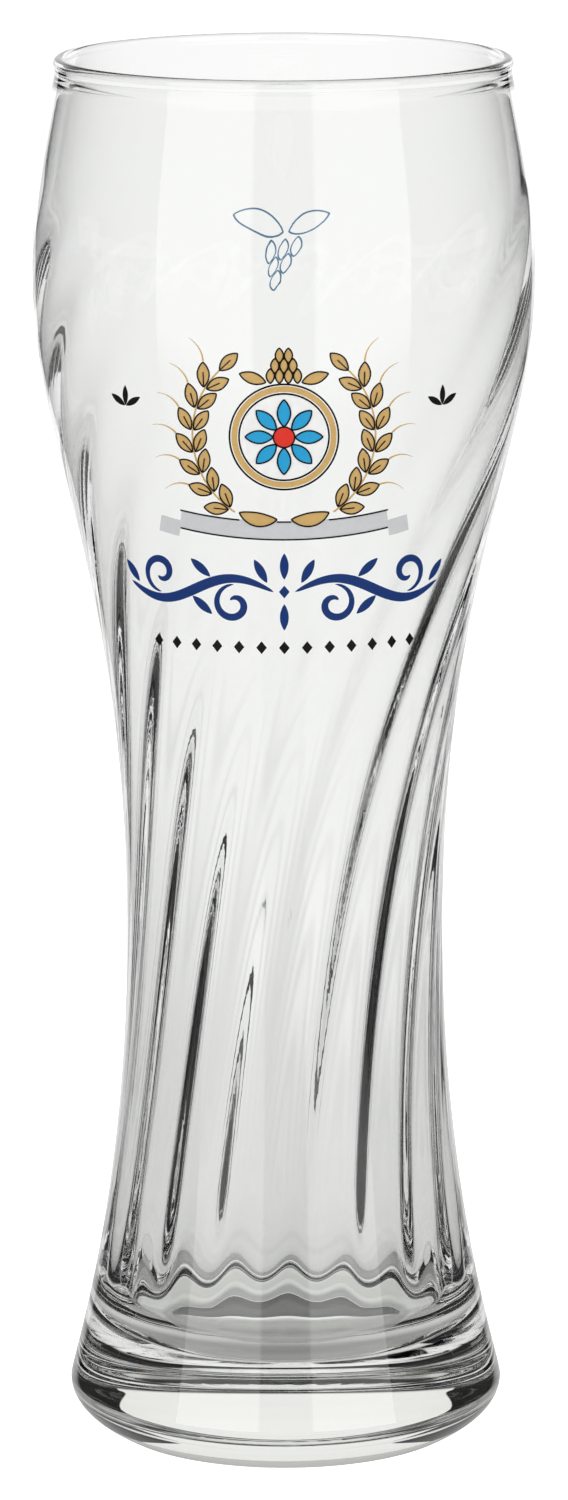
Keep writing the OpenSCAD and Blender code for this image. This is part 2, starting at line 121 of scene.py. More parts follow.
class GlassShape(bpy.types.PropertyGroup):
    height: length("Height", cad_high.z, "Table to the top of the lip")
    rest_r: length("Resting radius", 30.4 * MM, "Outer radius of the ring it stands on")
    rest_w: length("Resting width", 3.2 * MM, "Width of the ring it stands on")
    punt_h: length("Punt depth", 2.2 * MM, "Depth of the hollow under the foot")
    bevel_out: length("Bevel run", 3 * MM, "First run of the foot's lower edge")
    bevel_up: length("Bevel climb", 1.6 * MM, "Climb on that first run")
    bevel_pull: length("Bevel pull", 4 * MM, "Straight pull under the foot's widest point")
    foot_r: length("Foot radius", 37.7 * MM, "Largest outer radius of the foot")
    foot_z: length("Foot height", 8.2 * MM, "Height of the foot's widest point")
    foot_pull: length("Foot pull", 2.5 * MM, "Straight pull over the foot's widest point")
    waist_r: length("Waist radius", 27.4 * MM, "Outer radius of the waist")
    waist_z: length("Waist height", 89.4 * MM, "Height of the waist")
    stem_pull: length("Stem pull", 48.9 * MM, "Straight pull under the waist")
    flare_pull: length("Flare pull", 62 * MM, "Straight pull over the waist")
    bowl_r: length("Bowl radius", 42.9 * MM, "Largest outer radius of the bowl")
    bowl_z: length("Bowl height", 202.4 * MM, "Height of the bowl's widest point")
    belly_pull: length("Belly pull", 29.7 * MM, "Straight pull under the widest point")
    shoulder_pull: length("Shoulder pull", 10.3 * MM, "Straight pull over the widest point")
    lip_r: length("Lip radius", 39.1 * MM, "Outer radius of the rounded lip")
    lip_t: length("Lip thickness", 2.1 * MM, "Thickness of the rounded lip")
    lip_stand: length("Lip stand", 0.3 * MM, "How far the lip stands out over the wall")
    lip_grow: length("Lip growth", 4 * MM, "Height over which the wall thickens into the lip")
    lip_lean: length("Lip lean", 4 * MM, "How far the wall leans in up to the lip")
    lean_pull: length("Lean pull", 20 * MM, "Length of the stretch that leans in")
    bowl_wall: length("Bowl wall", 1.5 * MM, "Wall thickness at the bowl")
    waist_wall: length("Waist wall", 3 * MM, "Wall thickness at the waist")
    floor_wall: length("Floor wall", 6 * MM, "Wall thickness where the well ends")
    floor_z: length("Floor height", 16 * MM, "Height of the floor of the well")
    floor_fillet: length("Floor fillet", 10 * MM, "Rounded corner of the well's floor")
    ribs: IntProperty(name="Ribs", description="Number of ribs round the inside", default=18)
    rib_foot_h: length("Rib at floor", 0.1 * MM, "Height of a rib at the well's floor")
    rib_full_h: length("Full rib", 0.8 * MM, "Height of a rib where it is full")
    rib_full_z: length("Full rib place", 45 * MM, "Height at which the ribs are full")
    rib_bowl_h: length("Rib at bowl", 0.12 * MM, "Height of a rib at the bowl")
    rib_rise: length("Rib rise", 34 * MM, "Height over which the ribs rise from the floor")
    swirl_z: length("Swirl start", 16 * MM, "Height at which the ribs start to turn")
    rib_top_z: length("Rib top", 224 * MM, "Height at which the ribs have faded out")
    rib_fade: length("Rib fade", 22 * MM, "Height over which the ribs fade out")
    swirl_turn: angle("Swirl", 112, "Turn of each rib from its foot to its top")
    rib_from: angle("First rib", 0, "Direction of the first rib at its foot")


class PrintShape(bpy.types.PropertyGroup):
    film: length("Film", 0.06 * MM, "Thickness of one film of fired colour")
    sink: length("Sink", 0.02 * MM, "How far a film bites into what is under it")
    line: length("Line", 0.16 * MM, "Half width of a thin printed line")
    space: length("Space", 0.15 * MM, "Clear space between neighbouring forms")
    wreath_z: length("Wreath height", 181 * MM, "Height of the middle of the wreath")
    medal_r: length("Medal radius", 8.8 * MM, "Outer radius of the round medal")
    medal_rim: length("Medal rim", 1 * MM, "Width of the medal's rim")
    petal_l: length("Petal length", 4.6 * MM, "Length of a petal of the rosette")
    petal_w: length("Petal width", 2.2 * MM, "Width of a petal of the rosette")
    petals: IntProperty(name="Petals", description="Petals of the rosette", default=8)
    eye_r: length("Eye radius", 1.7 * MM, "Radius of the rosette's eye")
    ear_r: length("Ear radius", 15.6 * MM, "Radius of the arc of each barley ear")
    grain_pairs: IntProperty(name="Grain pairs", description="Pairs in each ear", default=7)
    grain_l: length("Grain length", 4.2 * MM, "Length of a grain")
    grain_w: length("Grain width", 2.1 * MM, "Width of a grain")
    bristle_l: length("Bristle length", 4.6 * MM, "Length of the bristle on an outer grain")
    leaf_l: length("Leaf length", 6.4 * MM, "Length of a leaf at the wreath's foot")
    leaf_w: length("Leaf width", 2.4 * MM, "Width of a leaf at the wreath's foot")
    cone_h: length("Cone height", 7 * MM, "Height of the hop cone over the medal")
    cone_w: length("Cone width", 6 * MM, "Width of the hop cone over the medal")
    cone_leaf: length("Cone leaf", 4.6 * MM, "Length of the leaf beside the hop cone")
    ribbon_z: length("Ribbon height", 164.6 * MM, "Height of the ribbon's middle")
    ribbon_l: length("Ribbon length", 36 * MM, "Length of the ribbon round the bowl")
    ribbon_w: length("Ribbon width", 3.4 * MM, "Height of the ribbon band")
    ribbon_rise: length("Ribbon rise", 1.4 * MM, "How far the ribbon's ends rise")
    tail_l: length("Tail length", 6 * MM, "Length of each folded tail")
    scroll_z: length("Scroll height", 153.8 * MM, "Height of the scrollwork's middle")
    scroll_l: length("Scroll reach", 29 * MM, "Reach of the scrollwork to each side")
    vine_rise: length("Vine rise", 2.2 * MM, "Height of the wave of the vine")
    vine_half: length("Vine half width", 0.9 * MM, "Largest half width of the vine")
    spiral_r: length("Spiral radius", 3.5 * MM, "Outer radius of the spirals")
    sprig_l: length("Sprig length", 4.6 * MM, "Length of the leaves on the vine")
    sprig_w: length("Sprig width", 1.5 * MM, "Width of the leaves on the vine")
    row_z: length("Row height", 143.9 * MM, "Height of the row of diamonds")
    row_l: length("Row length", 46 * MM, "Length of the row of diamonds")
    row_count: IntProperty(name="Diamonds", description="Diamonds in the row", default=13)
    diamond_w: length("Diamond width", 1.8 * MM, "Width of a diamond")
    diamond_h: length("Diamond height", 2.2 * MM, "Height of a diamond")
    side_s: length("Side sprig place", 28.6 * MM, "Distance of the side sprigs from the front")
    side_z: length("Side sprig height", 185 * MM, "Height of the side sprigs")
    side_leaf: length("Side leaf", 3.4 * MM, "Length of a leaf of the side sprigs")
    rear_z: length("Rear height", 197 * MM, "Height of the middle of the rear print")
    rear_h: length("Rear cone height", 13 * MM, "Height of the rear hop cone")
    rear_w: length("Rear cone width", 9 * MM, "Width of the rear hop cone")
    rear_leaf: length("Rear leaf", 8.5 * MM, "Length of the rear leaves")
    rear_leaf_w: length("Rear leaf width", 4 * MM, "Width of the rear leaves")


class GlassColours(bpy.types.PropertyGroup):
    glass: colour("Glass", (0.994, 1.0, 0.992), "Tint of the clear glass")
    deep: colour("Deep glass", (0.83, 0.84, 0.80), "Tint of the thick glass of the foot")
    passing: colour("Passing light", (0.98, 0.99, 0.985), "Tint of lamp light behind the glass")
    passing_share: FloatProperty(
        name="Passing share", description="Share of lamp light that passes the glass",
        default=0.93)
    index: FloatProperty(
        name="Index", description="Refractive index of the glass", default=1.52)
    white: colour("White", (0.86, 0.86, 0.85), "White enamel")
    gold: colour("Gold", (0.62, 0.4, 0.145), "Gold enamel")
    blue: colour("Sky blue", (0.02, 0.34, 0.64), "Sky blue enamel")
    red: colour("Red", (0.72, 0.035, 0.02), "Red enamel")
    grey: colour("Silver grey", (0.58, 0.59, 0.6), "Silver-grey enamel")
    navy: colour("Navy", (0.008, 0.036, 0.17), "Navy enamel")
    black: colour("Black", (0.012, 0.01, 0.01), "Black enamel")
    pale: colour("Pale blue", (0.2, 0.42, 0.68), "Pale blue line print")
    floor: colour("Floor", (0.82, 0.82, 0.82), "Floor under the glass")


class StageSizes(bpy.types.PropertyGroup):
    camera_y: length("Camera distance", 1.2546, "Camera in front of the glass")
    camera_z: length("Camera height", 0.375, "Camera over the table")
    camera_x: length("Camera shift", -0.1 * MM, "Camera to the side of the glass")
    pitch: angle("Camera pitch", 11.496, "Camera's look below the horizon")
    roll: angle("Camera roll", -0.108, "Camera's roll")
    lens: FloatProperty(name="Lens", description="Focal length in millimetres", default=177.79)
    sensor: FloatProperty(name="Sensor", description="Sensor width in millimetres", default=36)
    bounces: IntProperty(name="Bounces", description="Bounces of light in the glass", default=24)
    floor_size: length("Floor size", 14, "Side of the floor")
    floor_drop: length("Floor drop", 0.05 * MM, "Floor under the glass's foot")
    table_drop: length("Table drop", 0.03 * MM, "Bright table under the glass's foot")
    pool_drop: length("Pool drop", 0.02 * MM, "Lamps' pool of light under the glass's foot")
    screen_gap: length("Screen gap", 0.9, "Bright screen behind the glass")
    screen_low: length("Screen foot", -0.5, "Height of the screen's lower edge")
    screen_high: length("Screen top", 4, "Height of the screen's upper edge")
    card_half: length("Card reach", 3, "Half width of the screen and the table")
    bright_half: length("Bright half", 0.06, "Half width that is fully bright by the glass")
    dark_half: length("Dark half", 0.075, "Half width at which it has gone dark by the glass")
    spread: FloatProperty(
        name="Spread", description="How much wider the bright part gets, metre by metre behind",
        default=0.55)
    even: length("Even", 0.06, "Distance over which the bright part stays as wide")
    widest: length("Widest", 0.26, "Most that the bright part gets wider on the table")
    rise: FloatProperty(
        name="Rise", description="How much wider the bright part gets, metre by metre up",
        default=0.8)
    bright_top: length("Bright top", 0.45, "Height to which the screen is fully bright")
    dark_top: length("Dark top", 0.72, "Height at which the screen has gone dark")
    ceiling_z: length("Ceiling height", 1.9, "Height of the bright ceiling card")
    ceiling_half: length("Ceiling half", 3.0, "Half width at which the ceiling has gone dark")
    ceiling: FloatProperty(
        name="Ceiling", description="Brightness of the ceiling card", default=0.9)
    ceiling_front: length("Ceiling front", 3.0, "Reach of the ceiling before the glass")
    table_front: length("Table front", 0.1, "Reach of the bright table before the glass")
    table_near: FloatProperty(
        name="Table near", description="Brightness of the table close to the glass", default=0.7)
    table_end: length("Table end", 0.6, "Distance at which the table is fully bright")
    screen: FloatProperty(
        name="Screen", description="Brightness of the screen and the table's far part",
        default=1.04)
    lamps: FloatProperty(
        name="Lamps", description="Brightness of the two lamps that the glass mirrors",
        default=1.6)
    lamp_in: FloatProperty(
        name="Lamp inner edge", description="Inner edge of each lamp, as run over distance",
        default=0.225)
    lamp_out: FloatProperty(
        name="Lamp outer edge", description="Outer edge of each lamp, as run over distance",
        default=1.7)
    lamp_soft: FloatProperty(
        name="Lamp edge", description="Softness of both edges, as run over distance",
        default=0.05)
    lamp_y: length("Lamp distance", 1, "Distance of the lamps before the glass")
    lamp_z: length("Lamp height", 2.4, "Height of the lamps over the table")
    pool_from: length("Pool start", 0.1, "Distance at which the lamps' pool of light starts")
    pool_full: length("Pool end", 0.6, "Distance at which that pool is as bright as they are")
    key_x: length("Key side", 1.5, "Key lamps to either side of the glass")
    key_y: length("Key distance", 1.1, "Key lamps before the glass")
    key_z: length("Key height", 1.1, "Key lamps over the table")
    key_wide: length("Key width", 1.0, "Width of a key lamp")
    key_high: length("Key length", 1.4, "Length of a key lamp")
    key_watts: FloatProperty(name="Key power", description="Watts of a key lamp", default=18)
    top_y: length("Top lamp distance", 0.2, "Top lamp behind the glass")
    top_z: length("Top lamp height", 2.0, "Top lamp over the table")
    top_size: length("Top lamp size", 1.6, "Side of the top lamp")
    top_watts: FloatProperty(name="Top power", description="Watts of the top lamp", default=14)
    # Painted shadow: the glowing table card is dimmer under the glass's foot
    painted_foot_shadow: FloatProperty(
        name="Table under", description="Brightness of the table under the foot", default=0.5)
    floor_glow: FloatProperty(
        name="Floor glow", description="Light the camera sees added to the floor", default=0.75)
    ambient: FloatProperty(
        name="Ambient", description="Brightness of the room as the floor sees it", default=0.5)
    room: FloatProperty(
        name="Room", description="Brightness of the dim room as glass sees it", default=0.02)


def shape():
    return bpy.context.scene.glass_shape


def art():
    return bpy.context.scene.print_shape


def colours():
    return bpy.context.scene.glass_colours


def stage():
    return bpy.context.scene.stage_sizes


def shares(steps):
    return [i / steps for i in range(steps + 1)]


def ease(x):
    t = max(0, min(1, x))
    return t * t * (3 - 2 * t)


def bezier(a, b, c, d, t):
    weights = ((1 - t) ** 3, 3 * (1 - t) ** 2 * t, 3 * (1 - t) * t * t, t ** 3)
    return tuple(sum(w * p[i] for w, p in zip(weights, (a, b, c, d))) for i in (0, 1))


def curve(a, b, c, d, steps):
    return [bezier(a, b, c, d, t) for t in shares(steps)[1:]]


def round_at(turn, r=1.0, middle=(0, 0)):
    """The point at a turn in degrees, counted from straight right."""
    return (middle[0] + r * cos(radians(turn)), middle[1] + r * sin(radians(turn)))


def spiral(middle, r_from, r_to, start, end, steps):
    return [round_at(start + (end - start) * t, r_from + (r_to - r_from) * t, middle)
            for t in shares(steps)]


def arc(middle, r, start, end, steps):
    return spiral(middle, r, r, start, end, steps)


class Outline:
    """The glass's outline, wall and ribs, as lengths that follow the height."""

    punt_steps = 12
    bevel_steps = 16
    curve_steps = 40
    lip_steps = 28
    well_steps = 150
    fillet_steps = 15
    floor_steps = 8
    lip_start = -30  # degrees, where the round of the lip begins on its outside
    root_drop = 1.2  # lip thicknesses from the top down to where the wall meets the lip

    def __init__(self, g):
        self.g = g
        self.lip_mid = (g.lip_r - g.lip_t / 2, g.height - g.lip_t / 2)
        root = (g.lip_r - g.lip_stand, g.height - self.root_drop * g.lip_t)
        bevel = curve((g.rest_r, 0), (g.rest_r + g.bevel_out, g.bevel_up),
                      (g.foot_r, g.foot_z - g.bevel_pull), (g.foot_r, g.foot_z),
                      self.bevel_steps)
        stem = curve((g.foot_r, g.foot_z), (g.foot_r, g.foot_z + g.foot_pull),
                     (g.waist_r, g.waist_z - g.stem_pull), (g.waist_r, g.waist_z),
                     self.curve_steps)
        flare = curve((g.waist_r, g.waist_z), (g.waist_r, g.waist_z + g.flare_pull),
                      (g.bowl_r, g.bowl_z - g.belly_pull), (g.bowl_r, g.bowl_z),
                      self.curve_steps)
        shoulder = curve((g.bowl_r, g.bowl_z), (g.bowl_r, g.bowl_z + g.shoulder_pull),
                         (root[0] + g.lip_lean, root[1] - g.lean_pull), root,
                         self.curve_steps // 2)
        self.wall = bevel + stem + flare + shoulder
        table = self.wall + [(g.lip_r, self.lip_mid[1])]
        self.heights = [p[1] for p in table]
        self.radii = [p[0] for p in table]
        self.well_z = g.floor_z + g.floor_fillet
        self.floor_r = self.inner(self.well_z) - g.floor_fillet

    def outer(self, z):
        i = min(max(bisect_left(self.heights, z), 1), len(self.heights) - 1)
        low, high = self.heights[i - 1], self.heights[i]
        share = (z - low) / (high - low)
        return self.radii[i - 1] + (self.radii[i] - self.radii[i - 1]) * share

    def thickness(self, z):
        g = self.g
        up_stem = ease((g.bowl_z - z) / (g.bowl_z - g.waist_z))
        to_floor = max(0, (g.waist_z - z) / (g.waist_z - g.floor_z)) ** 3
        to_lip = ease((z - self.lip_mid[1] + g.lip_grow) / g.lip_grow)
        return (g.bowl_wall + (g.waist_wall - g.bowl_wall) * up_stem
                + (g.floor_wall - g.waist_wall) * to_floor
                + (g.lip_t - g.bowl_wall) * to_lip)

    def inner(self, z):
        return self.outer(z) - self.thickness(z)

    def rib_height(self, z):
        g = self.g
        down = ease((g.bowl_z - z) / (g.bowl_z - g.rib_full_z))
        deep = ease((g.rib_full_z - z) / (g.rib_full_z - g.floor_z))
        return (g.rib_bowl_h + (g.rib_full_h - g.rib_bowl_h) * down
                - (g.rib_full_h - g.rib_foot_h) * deep) * ease((g.rib_top_z - z) / g.rib_fade)

    def rib_turn(self, z):
        g = self.g
        share = max(0, min(1, (z - g.swirl_z) / (g.rib_top_z - g.swirl_z)))
        return g.rib_from - pi / 2 + g.swirl_turn * share ** 2

    def profile(self):
        """The whole section, from the middle of the underside to the middle of the well."""
        g = self.g
        punt_r = g.rest_r - g.rest_w
        punt = [(punt_r * t, g.punt_h * (1 - t ** 2)) for t in shares(self.punt_steps)]
        lip = arc(self.lip_mid, g.lip_t / 2, self.lip_start, 180, self.lip_steps)
        drop = self.lip_mid[1] - self.well_z
        inside = [(self.inner(z), z) for z in (
            self.lip_mid[1] - drop * t for t in shares(self.well_steps)[1:])]
        corner = arc((self.floor_r, self.well_z), g.floor_fillet, 0, -90, self.fillet_steps)
        floor = [(self.floor_r * (1 - t), g.floor_z) for t in shares(self.floor_steps)[1:]]
        return punt + [(g.rest_r, 0)] + self.wall + lip + inside + corner[1:] + floor


def deselect():
    if bpy.context.mode != "OBJECT":
        bpy.ops.object.mode_set(mode="OBJECT")
    bpy.ops.object.select_all(action="DESELECT")


def finish_piece(piece, material, slot, *nodes, sharp=40):
    deselect()
    piece.select_set(True)
    bpy.context.view_layer.objects.active = piece
    bpy.ops.object.shade_smooth_by_angle(angle=radians(sharp))
    piece.data.materials.clear()
    piece.data.materials.append(material)
    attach(piece, "root")
    if nodes:
        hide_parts(*nodes)
    deselect()


def revolve(name, section, turns):
    """Spins a section, given as (radius, height) from axis to axis, into a closed solid."""
    deselect()
    bpy.ops.mesh.primitive_circle_add(vertices=len(section), radius=1)
    piece = bpy.context.object
    piece.name = piece.data.name = name
    bpy.ops.object.mode_set(mode="EDIT")
    shell = bmesh.from_edit_mesh(piece.data)
    shell.verts.ensure_lookup_table()
    for v, (r, z) in zip(shell.verts, section):
        v.co = (r, 0, z)
    ends = {shell.verts[0], shell.verts[len(section) - 1]}
    for edge in shell.edges:
        edge.select_set(set(edge.verts) == ends)
    bmesh.update_edit_mesh(piece.data)
    bpy.ops.mesh.delete(type="EDGE_FACE")
    bpy.ops.mesh.select_all(action="SELECT")
    bpy.ops.mesh.spin(steps=turns, angle=2 * pi, center=(0, 0, 0), axis=(0, 0, 1))
    bpy.ops.mesh.select_all(action="SELECT")
    bpy.ops.mesh.remove_doubles(threshold=TOUCH)
    bpy.ops.mesh.normals_make_consistent(inside=False)
    return piece


class Wire:
    """A value in a material. Python's operators on it add Math nodes."""

    def __init__(self, recipe, socket):
        self.recipe = recipe
        self.socket = socket

    def math(self, operation, *others):
        return self.recipe.node("ShaderNodeMath", self, *others, operation=operation)

    def turned_math(self, operation, other):
        return self.recipe.node("ShaderNodeMath", other, self, operation=operation)

    def fade(self, start, end, first, last):
        """A smooth step from the first value to the last, over start to end."""
        return self.recipe.node("ShaderNodeMapRange", interpolation_type="SMOOTHSTEP", named={
            "Value": self, "From Min": start, "From Max": end,
            "To Min": first, "To Max": last})

    def __abs__(self):
        return self.math("ABSOLUTE")

    def __add__(self, other):
        return self.math("ADD", other)

    def __mul__(self, other):
        return self.math("MULTIPLY", other)

    def __sub__(self, other):
        return self.math("SUBTRACT", other)

    def __rsub__(self, other):
        return self.turned_math("SUBTRACT", other)

    def __truediv__(self, other):
        return self.math("DIVIDE", other)

    def __rtruediv__(self, other):
        return self.turned_math("DIVIDE", other)

    __radd__ = __add__
    __rmul__ = __mul__


class Recipe:
    """A material or a world in the making."""

    def __init__(self, made):
        made.use_nodes = True
        self.made = made
        self.tree = made.node_tree
        nodes = self.tree.nodes
        self.shader = nodes.get("Principled BSDF") or nodes["Background"]
        self.body = Wire(self, self.shader.outputs[0])

    def link(self, value, socket):
        if isinstance(value, Wire):
            self.tree.links.new(value.socket, socket)
        else:
            socket.default_value = value

    def node(self, kind, *values, out=0, named=None, **settings):
        made = self.tree.nodes.new(kind)
        for key, value in settings.items():
            setattr(made, key, value)
        for i, value in enumerate(values):
            self.link(value, made.inputs[i])
        for key, value in (named or {}).items():
            self.link(value, made.inputs[key])
        return Wire(self, made.outputs[out])

    def set(self, **values):
        for key, value in values.items():
            self.link(value, self.shader.inputs[key.replace("_", " ")])

    def show(self, surface):
        self.link(surface, self.tree.nodes["Material Output"].inputs["Surface"])

    def ray(self, kind):
        return self.node("ShaderNodeLightPath", out=kind)

    def place(self):
        return self.node("ShaderNodeTexCoord", out="Object")

    def along(self, axis):
        return self.node("ShaderNodeSeparateXYZ", self.place(), out=axis)

    def noise(self, scale, detail):
        return self.node("ShaderNodeTexNoise", named={
            "Vector": self.place(), "Scale": scale, "Detail": detail})

    def mix(self, share, low, high):
        return self.node("ShaderNodeMix", data_type="RGBA", out=2, named={
            "Factor": share, 6: (*low, 1), 7: (*high, 1)})

    def glow(self, tint, strength):
        return self.node("ShaderNodeEmission", tint, strength)

    def bump(self, height, strength, distance):
        return self.node("ShaderNodeBump", named={
            "Height": height, "Strength": strength, "Distance": distance})


def new_material(name):
    return Recipe(bpy.data.materials.new(name))


def glass_material():
    """Clear glass, tinted more in the thick foot, that lets most lamp light through."""
    c = colours()
    r = new_material("clear_glass")
    clearness = r.along("Z").fade(shape().floor_z / 2, 2 * shape().floor_z, 0.0, 1.0)
    r.set(Base_Color=r.mix(clearness, c.deep, c.glass),
          Roughness=0.0, IOR=c.index, Transmission_Weight=1.0)
    clear = r.node("ShaderNodeBsdfTransparent", (*c.passing, 1))
    shadow = r.ray("Is Shadow Ray") * c.passing_share
    r.show(r.node("ShaderNodeMixShader", shadow, r.body, clear))
    return r.made


def enamel(name, tint, roughness=0.32, mottle=0.1):
    """Fired enamel: nearly even colour with faint mottling and a soft gloss."""
    r = new_material(name)
    dark = [c * (1 - mottle) for c in tint]
    shade = r.mix(r.noise(MOTTLE_SCALE, detail=3.0), dark, tint)
    grain = r.noise(GRAIN_SCALE, detail=2.0)
    r.set(Base_Color=shade, Roughness=roughness + GRAIN_GLOSS * (grain - 0.5),
          Specular_IOR_Level=ENAMEL_SHINE, Normal=r.bump(grain, GRAIN_BUMP, GRAIN_DEPTH))
    return r.made


def both(rows):
    """A form and the same form on the left, with its rows turned to face out again."""
    return [rows, [[(-s, z) for s, z in reversed(row)] for row in rows]]


def shifted(point, s, z):
    return (point[0] + s, point[1] + z)


def band(path, halves, closed=False):
    """Rows across a path of (round, up) points, to the given half widths."""
    n = len(path)
    rows = []
    for i, (s, z) in enumerate(path):
        ahead = path[(i + 1) % n] if closed else path[min(i + 1, n - 1)]
        behind = path[i - 1] if closed else path[max(i - 1, 0)]
        run = hypot(ahead[0] - behind[0], ahead[1] - behind[1])
        side = (-(ahead[1] - behind[1]) / run, (ahead[0] - behind[0]) / run)
        h = halves[i]
        rows.append([(s + side[0] * h, z + side[1] * h), (s - side[0] * h, z - side[1] * h)])
    return rows + rows[:1] if closed else rows


def line(path, half, closed=False):
    return band(path, [half] * len(path), closed)


def edge_line(rows, half):
    """A line round a form's edge."""
    rim = [row[0] for row in rows] + [row[-1] for row in reversed(rows)]
    return line(rim, half, closed=True)


def swell(half, steps, power):
    """Half widths that grow from a tip to the middle and shrink to a tip again."""
    return [max(TIP, half * max(0, sin(pi * t)) ** power) for t in shares(steps)]


def leaf(start, turn, long, wide, bend=0.0):
    """A leaf or grain, pointed at both ends, whose middle is bent to the left."""
    along, side = round_at(turn), round_at(turn + 90)
    path = [(start[0] + along[0] * long * t + side[0] * bend * sin(pi * t),
             start[1] + along[1] * long * t + side[1] * bend * sin(pi * t))
            for t in shares(LEAF_STEPS)]
    return band(path, swell(wide / 2, LEAF_STEPS, LEAF_POWER))


def ring(middle, r, half, steps=96):
    return line(arc(middle, r, 0, 360, steps)[:-1], half, closed=True)


def disc(middle, r, steps=36, columns=10, tip=3):
    """A round form. Its first and last rows stand a few degrees off its ends."""
    turns = [radians(tip + (180 - 2 * tip) * t) for t in shares(steps)]
    return [[(middle[0] + r * sin(turn) * (2 * t - 1), middle[1] - r * cos(turn))
             for t in shares(columns)] for turn in turns]


def diamond(at, wide, high):
    return [[(at[0] - h, at[1] + t * high / 2), (at[0] + h, at[1] + t * high / 2)]
            for t, h in ((-1, TIP), (0, wide / 2), (1, TIP))]


def print_film(name, forms, level, rear=False):
    """Wraps flat forms on the bowl as one film. Level counts the films under it."""
    a = art()
    outline = Outline(shape())
    low = level * (a.film - a.sink) - a.sink
    deselect()
    bpy.ops.mesh.primitive_plane_add(size=1)
    piece = bpy.context.object
    piece.name = piece.data.name = name
    piece.data.clear_geometry()
    bpy.ops.object.mode_set(mode="EDIT")
    for rows in forms:
        n, m = len(rows), len(rows[0])
        bpy.ops.mesh.primitive_grid_add(x_subdivisions=m - 1, y_subdivisions=n - 1, size=1)
        film = bmesh.from_edit_mesh(piece.data)
        film.verts.ensure_lookup_table()
        fresh = film.verts[-n * m:]
        for v, (s, z) in zip(fresh, (p for row in rows for p in row)):
            r = outline.outer(z)
            turn = s / r + (pi if rear else 0)
            v.co = ((r + low) * sin(turn), -(r + low) * cos(turn), z)
        bmesh.update_edit_mesh(piece.data)
    bpy.ops.mesh.select_all(action="SELECT")
    bpy.ops.mesh.remove_doubles(threshold=TOUCH)
    bpy.ops.object.mode_set(mode="OBJECT")
    thick = piece.modifiers.new("film", "SOLIDIFY")
    thick.thickness, thick.offset = a.film, 1
    bpy.ops.object.modifier_apply(modifier=thick.name)
    return piece


def fire(name, node, slot, tint, forms, level, rear=False, **finish):
    """Prints forms as one film, in the enamel of its slot."""
    piece = print_film(name, forms, level, rear)
    finish_piece(piece, enamel(slot, tint, **finish), slot, node)


def wreath():
    return (0, art().wreath_z)


def ear_turn(i):
    """Where a pair of grains sits round the wreath, in degrees."""
    return EAR_START + (EAR_END - EAR_START) * (i + EAR_STALK) / (art().grain_pairs + EAR_STALK)


def grains():
    """The grains of the right-hand ear: seat, direction and whether it grows outside."""
    a = art()
    for i in range(a.grain_pairs):
        for side in (-1, 1):
            seat = round_at(ear_turn(i), a.ear_r + side * (a.line + a.space), wreath())
            yield seat, ear_turn(i) + 90 - side * GRAIN_LEAN, side > 0 and i > 0
    end = round_at(EAR_END, a.ear_r, wreath())
    yield round_at(EAR_END + 90, a.space, end), EAR_END + 90, False


def bristle(seat, turn):
    """The fine bristle on the tip of a grain, bent down and thinner to its end."""
    a = art()
    tip = round_at(turn, a.grain_l + a.space, seat)
    path = [round_at(turn - BRISTLE_BEND * t, a.bristle_l * t, tip) for t in shares(10)]
    return band(path, [a.line * (1 - BRISTLE_TAPER * t) for t in shares(10)])


def cone_scales(foot, high, wide, across, up, gap):
    """Scales of a hop cone, each row one scale narrower. Up is -1 for a hanging cone."""
    scale_h, scale_w = high / (CONE_ROWS + 1), wide / across
    for row in range(CONE_ROWS):
        for k in range(across - row):
            start = shifted(foot, scale_w * (k - (across - 1 - row) / 2), up * row * scale_h)
            yield leaf(start, up * 90, scale_h * SCALE_OVERLAP - gap, scale_w - gap)


def cone_foot():
    a = art()
    return shifted(wreath(), 0, a.medal_r + a.space + 2 * a.line)


def front_cone():
    a = art()
    return cone_scales(cone_foot(), a.cone_h, a.cone_w, across=4, up=1, gap=a.space)


def gold_leaves():
    """The leaves of the wreath's right half."""
    a = art()
    foot = shifted(wreath(), a.leaf_w / 2, a.leaf_w / 2 - a.ear_r)
    yield leaf(foot, FOOT_LEAF_TURN, a.leaf_l, a.leaf_w, -a.leaf_w / 4)
    seat = shifted(cone_foot(), a.cone_w / 2, a.space)
    yield leaf(seat, CONE_LEAF_TURN, a.cone_leaf, a.leaf_w * CONE_LEAF_SLIM)


def petals():
    a = art()
    for i in range(a.petals):
        turn = 90 + 360 * i / a.petals
        yield leaf(round_at(turn, a.eye_r + a.space, wreath()), turn, a.petal_l, a.petal_w)


def field_r():
    a = art()
    return a.medal_r - a.medal_rim - 2 * a.space - 2 * a.line


def ribbon_path(start, end, steps, lift):
    a = art()
    return [(s, a.ribbon_z + a.ribbon_rise * (2 * s / a.ribbon_l) ** 2 + lift)
            for s in (start + (end - start) * t for t in shares(steps))]


def vine_at(share):
    a = art()
    return (a.diamond_w + (a.scroll_l - a.diamond_w) * share,
            a.scroll_z + a.vine_rise * sin(2 * pi * share))


